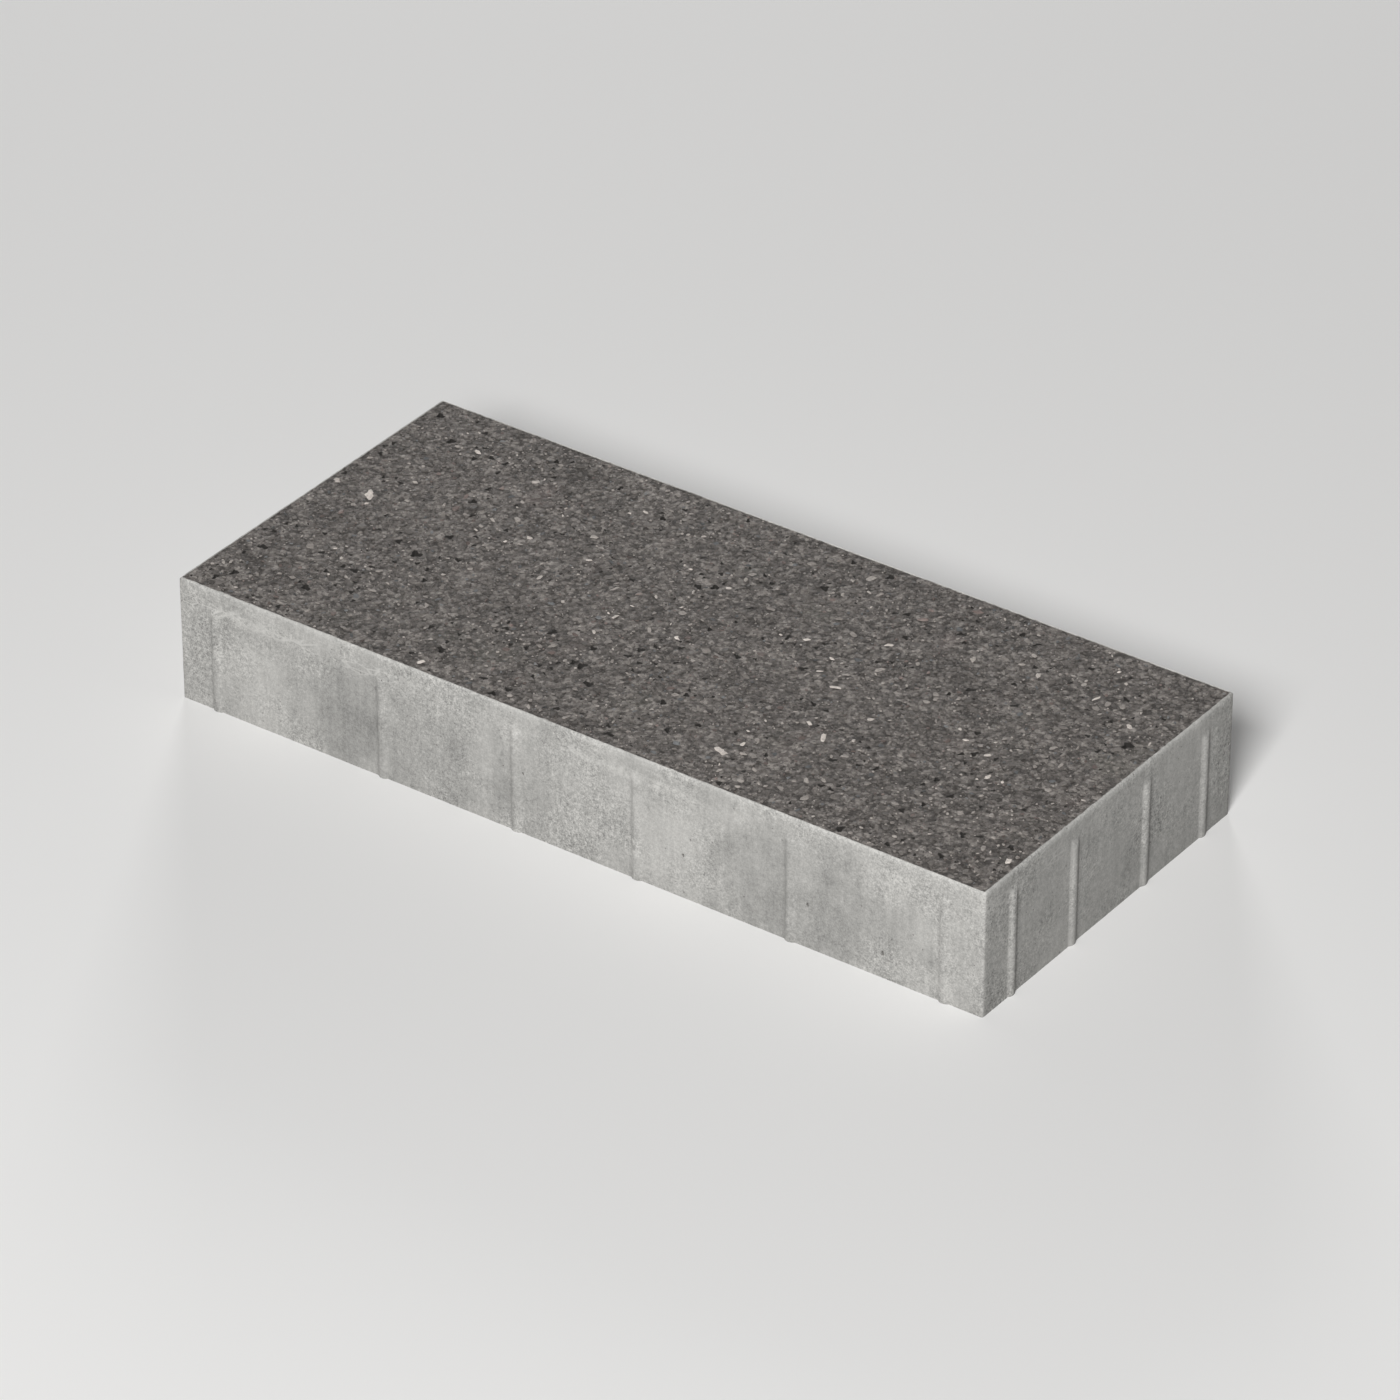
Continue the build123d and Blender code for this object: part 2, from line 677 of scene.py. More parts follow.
@dataclass(frozen=True)
class GranulateFinish:
    """Dark granulated face: a matrix of fine dark grains with faint warm and cool patches."""

    dark: Colour = (0.044, 0.039, 0.035)
    middle: Colour = (0.137, 0.123, 0.113)
    light: Colour = (0.345, 0.317, 0.291)
    cement: Colour = (0.420, 0.412, 0.390)
    # painted shade: near-black colour put into the pits in place of the shade that falls in them
    hollow_shade: Colour = (0.020, 0.018, 0.016)
    olive: Colour = (0.142, 0.142, 0.116)
    rust: Colour = (0.185, 0.140, 0.132)
    roughness: float = 0.88
    gloss: float = 0.35
    relief: float = 0.45 * MM
    usual_tone: float = 0.45
    grain_size: float = 3.4 * MM
    grain_weight: float = 0.52
    seam_weight: float = 0.25
    speck_size: float = 1.7 * MM
    speck_weight: float = 0.48
    dust: Cloud = Cloud(0.8 * MM, 3.0, 0.6, 0.28)
    mottle: Cloud = Cloud(6.0 * MM, 3.0, 0.6, 0.38)
    patch: Cloud = Cloud(30.0 * MM, 3.0, 0.55, 0.20)
    cool: Cloud = Cloud(55.0 * MM, 1.0, 0.5, 0.30, (1.0, 1.2, 1.0))
    warm: Cloud = Cloud(42.0 * MM, 1.0, 0.5, 0.28, (1.3, 0.9, 2.0))
    fray: Cloud = Cloud(3.0 * MM, 3.0, 0.5, 0.7 * MM)
    worn: Span = (0.6 * MM, -0.2 * MM)

    def rim(self, graph: Graph, place: bpy.types.NodeSocket, shape: BlockShape) -> Signal:
        """The ragged rim where the face runs out into the pale arris.

        Args:
            graph: The graph that its nodes join.
            place: The point.
            shape: The block's sizes.

        Returns:
            1 on the rim and 0 further in.
        """
        x, y, _ = graph.parts(place)
        inset_x = (shape.half_length - shape.bevel) - abs(x)
        inset_y = (shape.half_width - shape.bevel) - abs(y)
        inset = inset_x.least(inset_y) + self.fray.share(graph, place)
        return inset.rise(*self.worn)

    def make(self, shape: BlockShape) -> bpy.types.Material:
        """Makes the face's material.

        Args:
            shape: The block's sizes.

        Returns:
            The material, which reads how hollow each point is.
        """

        def dress(graph: Graph) -> dict[str, Any]:
            """Draws the grains, the faint warm and cool patches, the worn rim and the pits, with painted
            shade in the pits.
            """
            place = graph.place()
            dome, chance = graph.grains(place, self.grain_size)
            speck, sparkle = graph.grains(place, self.speck_size)
            dust = self.dust.draw(graph, place)
            tone = self.usual_tone + self.grain_weight * (chance - 0.5) + self.speck_weight * (sparkle - 0.5)
            tone = tone + self.dust.weight * dust - self.seam_weight * dome.rise(0.4, 0.8)
            tone = tone + self.mottle.share(graph, place) + self.patch.share(graph, place)
            stops = ((0.0, self.dark), (self.usual_tone, self.middle), (1.0, self.light))
            colour = graph.ramp(tone, stops)
            cool = self.cool.draw(graph, place).rise(0.25, 0.7)
            warm = self.warm.draw(graph, place).rise(0.35, 0.75)
            colour = graph.blend(self.cool.weight * cool, colour, self.olive)
            colour = graph.blend(self.warm.weight * warm, colour, self.rust)
            colour = graph.blend(self.rim(graph, place, shape), colour, self.cement)
            # painted shade: the hollow parts of the pits get a near-black colour in place of the shade that
            # falls in them
            colour = graph.blend(graph.attribute("hollow").rise(0.5, 0.75), colour, self.hollow_shade)
            height = 0.45 * dome.rise(0.7, 0.1) * (0.4 + 0.6 * chance)
            height = height + 0.3 * speck.rise(0.7, 0.1) + 0.25 * dust
            return {
                "Base Color": colour,
                "Roughness": self.roughness - 0.10 * sparkle,
                "Specular IOR Level": self.gloss,
                "Normal": graph.bump(height, self.relief),
            }

        return matte_material("dark_granulate", dress)


@dataclass(frozen=True)
class Stain:
    """A soft dark or, below 0 strength, pale place on the long sides, with its reach each way."""

    along: float
    up: float
    left: float
    right: float
    half_height: float
    strength: float

    FRAY = 0.35

    def shade(self, x: Signal, z: Signal, ragged: Signal) -> Signal:
        """How much it darkens a point.

        Args:
            x: The point's place along the block.
            z: The point's height.
            ragged: Noise that frays the stain's edge.

        Returns:
            The loss of tone, which is 0 outside the stain and below 0 in a pale one.
        """
        across = (self.along - x).most(0.0) * (1.0 / self.left)
        across = across + (x - self.along).most(0.0) * (1.0 / self.right)
        up = (z - self.up) * (1.0 / self.half_height)
        reach = across * across + up * up + self.FRAY * ragged
        return self.strength * reach.rise(1.0, 0.0)


# The stains of the long sides: along, up, left, right and half height in millimetres, and strength
STAINS = tuple(
    Stain(*(size * MM for size in sizes), strength)
    for *sizes, strength in (
        (-133.0, 30.0, 70.0, 3.0, 46.0, 0.10),
        (-130.0, 32.0, 56.0, 85.0, 56.0, 0.14),
        (-47.0, 26.0, 10.0, 8.0, 12.0, 0.17),
        (143.5, 30.0, 70.0, 3.0, 46.0, 0.12),
        (147.0, 32.0, 56.0, 85.0, 56.0, 0.16),
        (237.0, 26.0, 10.0, 8.0, 12.0, 0.17),
        (-214.0, 24.0, 40.0, 26.0, 40.0, -0.20),
        (-230.0, 66.0, 16.0, 52.0, 4.0, -0.18),
        (74.0, 24.0, 34.0, 26.0, 40.0, -0.18),
        (52.0, 66.0, 70.0, 48.0, 4.0, -0.18),
    )
)


@dataclass(frozen=True)
class PressedFinish:
    """Pale pressed concrete: cloudy, with soft stains and streaks, fine sand and small pores."""

    name: str
    pale: Colour = (0.640, 0.629, 0.600)
    grey: Colour = (0.230, 0.227, 0.217)
    # painted shade: dark colour put into pores and air holes in place of the shade inside them
    hollow_shade: Colour = (0.150, 0.145, 0.136)
    dark: Colour = (0.145, 0.133, 0.124)
    roughness: float = 0.90
    gloss: float = 0.3
    relief: float = 0.22 * MM
    stains: tuple[Stain, ...] = STAINS
    usual_tone: float = 0.54
    # painted shade: how much the walls' colour darkens towards the bed and lightens towards the top
    painted_shade_by_height: float = 0.9
    # painted highlight: how much paler the bevel is coloured, as if it caught the light from above
    bevel_highlight_tone: float = 0.12
    panel: Cloud = Cloud(95.0 * MM, 2.0, 0.5, 0.20, (1.0, 1.0, 0.45))
    blotch: Cloud = Cloud(26.0 * MM, 4.0, 0.6, 0.33)
    smudge: Cloud = Cloud(9.0 * MM, 3.0, 0.55, 0.20)
    streak: Cloud = Cloud(6.0 * MM, 3.0, 0.65, 0.15, UPRIGHT)
    drip: Cloud = Cloud(2.4 * MM, 2.0, 0.6, 0.12, UPRIGHT)
    bloom: Cloud = Cloud(4.5 * MM, 3.0, 0.6)
    fleck: Cloud = Cloud(2.4 * MM, 2.0, 0.6, 0.52)
    sand: Cloud = Cloud(1.0 * MM, 2.0, 0.6, 0.80)
    open_skin: Cloud = Cloud(36.0 * MM)
    crumb: Cloud = Cloud(2.2 * MM, 3.0, 0.5, 0.45 * MM)
    crack_size: float = 15.0 * MM
    crack_patch: Cloud = Cloud(45.0 * MM, weight=0.75)
    pore_size: float = 6.5 * MM
    prick_size: float = 2.8 * MM
    prick_patch: Cloud = Cloud(48.0 * MM, 3.0)

    def crackle(self, graph: Graph, place: bpy.types.NodeSocket, z: Signal, rib_top: float) -> Signal:
        """Fine pale cracks in a band about the heads of the ribs.

        Args:
            graph: The graph that its nodes join.
            place: The point.
            z: The point's height.
            rib_top: The height where the ribs end.

        Returns:
            How much of the pale colour shows.
        """
        band = z.rise(rib_top - 9.0 * MM, rib_top - 2.0 * MM) * z.rise(rib_top + 5.0 * MM, rib_top + 1.0 * MM)
        cracks = graph.seams(graph.stretched(place, LYING), self.crack_size).rise(0.09, 0.0)
        patch = self.crack_patch.draw(graph, place).rise(-0.1, 0.25)
        return self.crack_patch.weight * (cracks * band * patch)

    def pores(self, graph: Graph, place: bpy.types.NodeSocket) -> Signal:
        """Scattered pores, and finer pricks that lie in patches.

        Args:
            graph: The graph that its nodes join.
            place: The point.

        Returns:
            1 in a pore and 0 outside.
        """
        pore, chance = graph.grains(place, self.pore_size)
        pores = pore.rise(0.10, 0.05) * chance.rise(0.78, 0.80)
        prick, odds = graph.grains(place, self.prick_size)
        pricks = prick.rise(0.20, 0.10) * odds.rise(0.55, 0.57)
        return pores.most(pricks * self.prick_patch.draw(graph, place).rise(0.42, 0.52))

    def make(self, shape: BlockShape) -> bpy.types.Material:
        """Makes the material of the walls or of the bed.

        Args:
            shape: The block's sizes.

        Returns:
            The material, which reads how hollow each point is.
        """

        def dress(graph: Graph) -> dict[str, Any]:
            """Draws the clouds, stains, cracks, pores and the dark crumbs along the upper edge, with painted
            shade in the pores and holes, painted shade that darkens the walls towards the bed and a painted
            highlight on the bevel.
            """
            place = graph.place()
            x, _, z = graph.parts(place)
            blotch = self.blotch.draw(graph, place)
            smudge = self.smudge.draw(graph, place)
            sand = self.sand.draw(graph, place)
            bloom = self.bloom.draw(graph, place).rise(0.1, 0.6)
            stained = sum(stain.shade(x, z, blotch) for stain in self.stains)
            skin = self.open_skin.draw(graph, place).rise(-0.35, 0.35) * stained.rise(0.22, 0.0)
            tone = self.usual_tone + self.blotch.weight * blotch - stained
            for cloud in (self.panel, self.streak, self.drip):
                tone = tone + cloud.share(graph, place)
            tone = tone + (self.fleck.share(graph, place) + self.sand.weight * sand) * (0.45 + 0.80 * skin)
            tone = tone - self.smudge.weight * smudge.rise(0.15, 0.55) + bloom * (0.15 + 0.50 * skin)
            foot = shape.height - shape.bevel
            # painted shade: the walls are coloured darker towards the bed and lighter towards the top, in
            # place of light that falls off down them
            tone = tone + self.painted_shade_by_height * (z - 0.5 * shape.height)
            # painted highlight: the bevel is coloured paler, as if it caught the light from above
            tone = tone + self.bevel_highlight_tone * z.rise(foot - 0.6 * MM, foot + 0.4 * MM)
            colour = graph.blend(tone, self.grey, self.pale)
            colour = graph.blend(self.crackle(graph, place, z, shape.rib_top), colour, self.pale)
            pores = self.pores(graph, place)
            # painted shade: pores and the hollows of the air holes get a dark colour in place of the shade
            # inside them
            holes = (0.6 * pores).most(0.85 * graph.attribute("hollow").rise(0.2, 0.9))
            colour = graph.blend(holes, colour, self.hollow_shade)
            top = z + self.crumb.share(graph, place)
            crumbs = top.rise(shape.height - 0.45 * MM, shape.height - 0.15 * MM)
            colour = graph.blend(crumbs, colour, self.dark)
            height = 0.5 + 0.30 * sand + 0.25 * smudge - 0.5 * pores
            return {
                "Base Color": colour,
                "Roughness": self.roughness - 0.05 * blotch,
                "Specular IOR Level": self.gloss,
                "Normal": graph.bump(height, self.relief),
            }

        return matte_material(self.name, dress)


class Side(Enum):
    """The sides of the body, each with its left and lower edge on the colour map."""

    FACE = (0.01, 0.01)
    FRONT = (0.01, 0.43)
    BACK = (0.01, 0.575)
    RIGHT = (0.01, 0.72)
    LEFT = (0.47, 0.72)
    BED = (0.01, 0.865)


@dataclass(frozen=True)
class ColourMap:
    """A layout of the body's sides on one square, so that a baked colour keeps its grain."""

    shape: BlockShape
    width_share: float = 0.98
    height_share: float = 0.90
    bed_share: float = 0.125

    def sides(self, centres: np.ndarray, zones: np.ndarray) -> dict[Side, np.ndarray]:
        """Sorts faces by side.

        Args:
            centres: The middle of each face.
            zones: The zone of each face.

        Returns:
            For each side, which faces it has.
        """
        gap_x = self.shape.half_length - np.abs(centres[:, 0])
        gap_y = self.shape.half_width - np.abs(centres[:, 1])
        wall = zones == Zone.WALL
        long_wall = wall & (gap_y <= gap_x)
        end_wall = wall & (gap_y > gap_x)
        return {
            Side.FACE: zones == Zone.FACE,
            Side.FRONT: long_wall & (centres[:, 1] < 0.0),
            Side.BACK: long_wall & (centres[:, 1] > 0.0),
            Side.RIGHT: end_wall & (centres[:, 0] > 0.0),
            Side.LEFT: end_wall & (centres[:, 0] < 0.0),
            Side.BED: zones == Zone.BED,
        }

    def lay_out(self, mesh: bpy.types.Mesh) -> None:
        """Gives the body's mesh its map.

        Args:
            mesh: The mesh, with a material index for each zone.
        """
        shape = self.shape
        centres = listed(mesh.polygons, "center", width=3)
        zones = listed(mesh.polygons, "material_index", int)
        sizes = listed(mesh.polygons, "loop_total", int)
        owners = listed(mesh.loops, "vertex_index", int)
        points = listed(mesh.vertices, "co", width=3)
        half_x = shape.half_length + shape.rib_proud
        half_y = shape.half_width + shape.rib_proud
        x, y, z = points[owners].T
        wide = self.width_share / (2.0 * half_x)
        high = self.height_share / (2.0 * half_x)
        spread = np.zeros((len(owners), 2))
        for side, chosen in self.sides(centres, zones).items():
            here = np.repeat(chosen, sizes)
            along = y + half_y if side in (Side.RIGHT, Side.LEFT) else x + half_x
            up = high * z
            if side is Side.FACE:
                up = high * (y + half_y)
            elif side is Side.BED:
                up = self.bed_share * (y + half_y) / (2.0 * half_y)
            left, low = side.value
            spread[here] = np.column_stack([left + wide * along, low + up])[here]
        mesh.uv_layers.new(name=COLOUR_MAP).data.foreach_set("uv", spread.ravel())


@dataclass(frozen=True)
class PitMix:
    """Ragged pits of one grading: their number, the cells that one may take each way, and their form.

    Reach is the half length as a share of the cells, slimness the half width as a share of the half
    length, and depth a share of the half width, on top of the least depth.
    """

    count: int
    spans: tuple[int, ...]
    reach: Span = (0.30, 0.48)
    slimness: Span = (0.25, 0.75)
    depth: Span = (0.6, 1.1)
    least_depth: float = 0.4 * MM
    lobes: float = 0.35
    rim_hollow: float = 0.72


@dataclass
class BlockBody:
    """The dressed body of the block: face, bevel, ribbed walls and bed as one closed mesh."""

    shape: BlockShape
    relief: FaceRelief
    pitch: float = 1.65 * MM
    rib_steps: int = 6
    corner_steps: int = 2
    bevel_steps: int = 3
    row_pitch: float = 4.0 * MM
    head_rows: int = 3
    upper_rows: int = 4
    wall_sunk: float = 0.15 * MM
    wall_swing: float = 0.7
    wall_lumps: Callable[[Vector], float] = lumps(14.0 * MM, 4)
    wear: float = 1.0 * MM
    wear_from: float = 0.25
    wear_most: float = 0.6
    wear_lumps: Callable[[Vector], float] = lumps(6.0 * MM, 3)
    bed_steps: int = 4
    bed_inset: float = 5.0 * MM
    bed_sunk: float = 0.25 * MM
    bed_lumps: Callable[[Vector], float] = lumps(12.0 * MM, 3)
    pit_mixes: tuple[PitMix, ...] = (PitMix(105, (3, 4, 4, 5)), PitMix(300, (2, 2, 3)))
    pit_margin: int = 2
    air_hole_count: int = 50
    air_hole_cells: int = 2
    air_hole_least: float = 0.40 * MM
    air_hole_spread: float = 0.30 * MM
    air_hole_most: float = 1.3 * MM
    air_hole_slimness: Span = (0.8, 1.3)
    air_hole_depth: float = 1.3
    sharp_angle: float = math.radians(48.0)
    seed: int = 4107
    pits: list[Disc] = field(default_factory=list)

    def rulings(self, half: float, stations: Sequence[float]) -> np.ndarray:
        """Grid lines along one side: even across each rib, and even between ribs.

        Args:
            half: Half the side's length.
            stations: The places of its ribs.

        Returns:
            The lines' places, in a number of steps that the bed's wider grid divides.
        """
        rib = self.shape.rib_width / 2
        corner = half - self.shape.corner_radius
        marks = [-half, -corner]
        for station in stations:
            marks += [station - rib, station + rib]
        marks += [corner, half]
        spans = np.diff(marks)
        steps = np.ceil(spans / self.pitch).astype(int)
        steps[2:-2:2] = self.rib_steps
        steps[[0, -1]] = self.corner_steps
        steps[np.argmax(spans)] += -steps.sum() % self.bed_steps
        lines = [np.linspace(a, b, n, endpoint=False) for a, b, n in zip(marks, marks[1:], steps)]
        return np.append(np.concatenate(lines), half)

    def rows(self) -> np.ndarray:
        """Heights of the rows of a wall, from the bed to the foot of the bevel."""
        shape = self.shape
        full = shape.rib_top - shape.rib_runout
        lower = np.linspace(0.0, full, math.ceil(full / self.row_pitch), endpoint=False)
        head = np.linspace(full, shape.rib_top, self.head_rows, endpoint=False)
        upper = np.linspace(shape.rib_top, shape.height - shape.bevel, self.upper_rows)
        return np.concatenate([lower, head, upper])

    def loop(self, xs: np.ndarray, ys: np.ndarray, inset: float, z: float) -> np.ndarray:
        """One level line of the walls.

        Args:
            xs: Grid lines along the block.
            ys: Grid lines across it.
            inset: How far the line lies inside the walls.
            z: Its height.

        Returns:
            Points round the block, anticlockwise from above, with ribs and rounded corners.
        """
        shape = self.shape
        flat = Sheet.ring(grid(xs, ys, z))[:, :2]
        halves = np.array([shape.half_length, shape.half_width])
        on_end = np.isclose(np.abs(flat[:, 0]), halves[0])
        on_side = np.isclose(np.abs(flat[:, 1]), halves[1])
        core = halves - inset - shape.corner_radius
        flat = flat * (halves - inset) / halves
        over = np.maximum(np.abs(flat) - core, 0.0)
        reach = np.linalg.norm(over, axis=1, keepdims=True)
        outward = np.sign(flat) * over / reach
        flat = np.sign(flat) * np.minimum(np.abs(flat), core) + outward * shape.corner_radius
        rise = np.where(on_side, shape.rib_rise(flat[:, 0], shape.side_stations, z), 0.0)
        rise = np.where(on_end, shape.rib_rise(flat[:, 1], shape.end_stations, z), rise)
        flat = flat + outward * rise[:, None]
        points = np.column_stack([flat, np.full(len(flat), z)])
        rough = sampled(self.wall_lumps, points)
        sink = np.clip(self.wall_sunk * (1.0 + self.wall_swing * rough), 0.0, None)
        if z >= shape.height - shape.bevel:
            nicks = sampled(self.wear_lumps, points)
            sink += self.wear * np.clip(nicks - self.wear_from, 0.0, self.wear_most)
        points[:, :2] -= outward * sink[:, None]
        return points

    def face_points(self, xs: np.ndarray, ys: np.ndarray) -> np.ndarray:
        """The points of the face.

        Args:
            xs: Grid lines along the block.
            ys: Grid lines across it.

        Returns:
            A grid of points inside the bevel, in rows along the block.
        """
        shape, relief = self.shape, self.relief
        along = xs * (1.0 - shape.bevel / shape.half_length)
        across = ys * (1.0 - shape.bevel / shape.half_width)
        points = grid(along, across, shape.height)
        points[..., 2] += sampled(relief.height, points) - relief.sunk
        return points

    def build(self) -> bpy.types.Object:
        """Makes the body's mesh.

        Returns:
            The new object, linked to the scene, with a material index for each zone.
        """
        shape = self.shape
        chance = np.random.default_rng(self.seed)
        xs = self.rulings(shape.half_length, shape.side_stations)
        ys = self.rulings(shape.half_width, shape.end_stations)
        shell = Shell()
        face_points = self.face_points(xs, ys)
        face = Sheet(shell, shell.add_points(face_points), face_points)
        levels = [self.loop(xs, ys, 0.0, z) for z in self.rows()]
        foot = shape.height - shape.bevel
        for step in range(1, self.bevel_steps):
            inset = step / self.bevel_steps * shape.bevel
            levels.append(self.loop(xs, ys, inset, foot + inset))
        wall_points = np.stack([*levels, Sheet.ring(face_points)])
        wall_ids = np.concatenate([shell.add_points(np.stack(levels)), Sheet.ring(face.ids)[None, :]])
        wrapped = [np.concatenate([a, a[:, :1]], axis=1) for a in (wall_ids, wall_points)]
        walls = Sheet(shell, *wrapped)
        self.sink_pits(face, chance)
        self.sink_air_holes(walls, chance)
        face.close(Zone.FACE)
        walls.close(Zone.WALL)
        self.close_bed(shell, xs, ys, wall_ids[0])
        mesh = shell.mesh("block_body", self.sharp_angle)
        ColourMap(shape).lay_out(mesh)
        return placed("block_body", mesh)

    def sink_pits(self, face: Sheet, chance: np.random.Generator) -> None:
        """Sinks the pits into the face, mostly where it is rough, and notes their places.

        Args:
            face: The face.
            chance: Random source.
        """
        rows, columns = face.whole.shape
        margin = self.pit_margin
        for mix in self.pit_mixes:
            made = 0
            while made < mix.count:
                span = int(chance.choice(mix.spans))
                row = int(chance.integers(margin, rows - margin - span))
                column = int(chance.integers(margin, columns - margin - span))
                middle = Vector(face.points[row + 1, column + 1])
                if self.relief.patchiness(middle) < chance.uniform(0.0, 1.0):
                    continue
                length = chance.uniform(*mix.reach) * span * self.pitch
                width = length * chance.uniform(*mix.slimness)
                depth = chance.uniform(*mix.depth) * width + mix.least_depth
                turn = chance.uniform(0.0, math.pi)
                hole = Hole(row, column, span, span, length, width, depth, turn, mix.lobes, mix.rim_hollow)
                if face.sink(hole, Zone.FACE, chance):
                    made += 1
                    corners = face.points[row : row + span + 1, column : column + span + 1]
                    x, y, _ = corners.reshape(-1, 3).mean(axis=0)
                    self.pits.append((x, y, 0.5 * (length + width)))

    def sink_air_holes(self, walls: Sheet, chance: np.random.Generator) -> None:
        """Sinks the small round holes that air leaves in pressed walls, clear of the edges.

        Args:
            walls: The four walls.
            chance: Random source.
        """
        columns = walls.whole.shape[1]
        top = len(self.rows()) - self.upper_rows
        cells = self.air_hole_cells
        made = 0
        while made < self.air_hole_count:
            row = int(chance.integers(1, top))
            column = int(chance.integers(0, columns - cells))
            radius = min(self.air_hole_least + chance.exponential(self.air_hole_spread), self.air_hole_most)
            width = radius * chance.uniform(*self.air_hole_slimness)
            hole = Hole(row, column, cells, cells, radius, width, self.air_hole_depth * radius)
            made += walls.sink(hole, Zone.WALL, chance)

    def close_bed(self, shell: Shell, xs: np.ndarray, ys: np.ndarray, foot: np.ndarray) -> None:
        """Closes the underside with a wider grid, stitched to the foot of the walls.

        Args:
            shell: The mesh under construction.
            xs: Grid lines along the block.
            ys: Grid lines across it.
            foot: Numbers of the lowest points of the walls.
        """
        shape, step = self.shape, self.bed_steps
        along = xs[::step] * (1.0 - self.bed_inset / shape.half_length)
        across = ys[::step] * (1.0 - self.bed_inset / shape.half_width)
        points = grid(along, across, 0.0)
        rough = sampled(self.bed_lumps, points)
        points[..., 2] = np.clip(self.bed_sunk * (1.0 + rough), 0.0, None)
        ids = shell.add_points(points)
        cells = [ids[:-1, :-1], ids[1:, :-1], ids[1:, 1:], ids[:-1, 1:]]
        shell.add_faces(np.stack(cells, axis=-1).reshape(-1, 4), Zone.BED)
        inner = Sheet.ring(ids)
        behind = np.repeat(inner, step)
        ahead = np.repeat(np.roll(inner, -1), step)
        nearest = np.where(np.arange(len(foot)) % step < step // 2, behind, ahead)
        fans = [np.roll(foot, -1), foot, nearest]
        shell.add_faces(np.stack(fans, axis=1), Zone.BED)
        bridges = [np.roll(inner, -1), foot[step // 2 :: step], inner]
        shell.add_faces(np.stack(bridges, axis=1), Zone.BED)


@dataclass(frozen=True)
class StoneMix:
    """Stones of one grading that the face shows: number, sizes, shades and how proud they stand.

    A shade is how much light the stone gives back. Most lie near the usual shade, the spread is the
    deviation of its logarithm, half as much towards the dark, and none is above the palest. Gathered
    stones keep to rough patches.
    """

    count: int
    size: Span
    slimness: Span
    ragged: float
    shade: float
    spread: float
    palest: float
    proud: Span
    corners: int
    gathered: bool = False


FLAKES = StoneMix(
    count=6,
    size=(10.0 * MM, 18.0 * MM),
    slimness=(0.30, 0.48),
    ragged=0.40,
    shade=0.58,
    spread=0.12,
    palest=0.70,
    proud=(0.20 * MM, 0.40 * MM),
    corners=9,
)
CHIPS = StoneMix(
    count=270,
    size=(3.5 * MM, 9.0 * MM),
    slimness=(0.35, 0.75),
    ragged=0.50,
    shade=0.32,
    spread=0.50,
    palest=0.66,
    proud=(0.15 * MM, 0.40 * MM),
    corners=8,
    gathered=True,
)
DARK_STONES = StoneMix(
    count=150,
    size=(2.0 * MM, 7.5 * MM),
    slimness=(0.30, 0.65),
    ragged=0.60,
    shade=0.024,
    spread=0.35,
    palest=0.050,
    proud=(0.00, 0.12 * MM),
    corners=8,
    gathered=True,
)
GRAINS = StoneMix(
    count=3000,
    size=(3.2 * MM, 8.5 * MM),
    slimness=(0.35, 0.90),
    ragged=0.50,
    shade=0.120,
    spread=0.50,
    palest=0.40,
    proud=(0.05 * MM, 0.55 * MM),
    corners=7,
)
GRIT = StoneMix(
    count=7600,
    size=(1.6 * MM, 3.2 * MM),
    slimness=(0.40, 1.00),
    ragged=0.35,
    shade=0.120,
    spread=0.66,
    palest=0.42,
    proud=(0.05 * MM, 0.45 * MM),
    corners=6,
)


@dataclass(frozen=True)
class StoneFinish:
    """Stone of the face mix: warm basalt greys, a few reds and blues, and pale quartz."""

    basalt: Colour = (1.07, 0.972, 0.893)
    red: Colour = (1.22, 0.95, 0.86)
    blue: Colour = (0.97, 1.00, 1.02)
    roughness: float = 0.82
    gloss: float = 0.4
    relief: float = 0.15 * MM
    mottle: Cloud = Cloud(1.3 * MM, 3.0, 0.6, 0.55)
    vein: Cloud = Cloud(3.5 * MM, weight=0.25)

    def make(self) -> bpy.types.Material:
        """The stones' material, which reads each stone's shade and hue."""

        def dress(graph: Graph) -> dict[str, Any]:
            """Draws each stone in its shade, tinted by its hue unless it is pale."""
            place = graph.place()
            mottle = self.mottle.draw(graph, place)
            swing = self.mottle.weight * mottle + self.vein.share(graph, place)
            shade = graph.attribute("shade") * (1.0 + swing)
            hue = graph.attribute("hue")
            tinted = shade.rise(0.26, 0.20)
            tint = graph.blend(hue.rise(0.93, 0.95) * tinted, self.basalt, self.red)
            tint = graph.blend(hue.rise(0.08, 0.06) * tinted, tint, self.blue)
            return {
                "Base Color": graph.shaded(tint, shade),
                "Roughness": self.roughness - 0.15 * mottle,
                "Specular IOR Level": self.gloss,
                "Normal": graph.bump(0.5 + 0.5 * mottle, self.relief),
            }

        return matte_material("face_stone", dress)


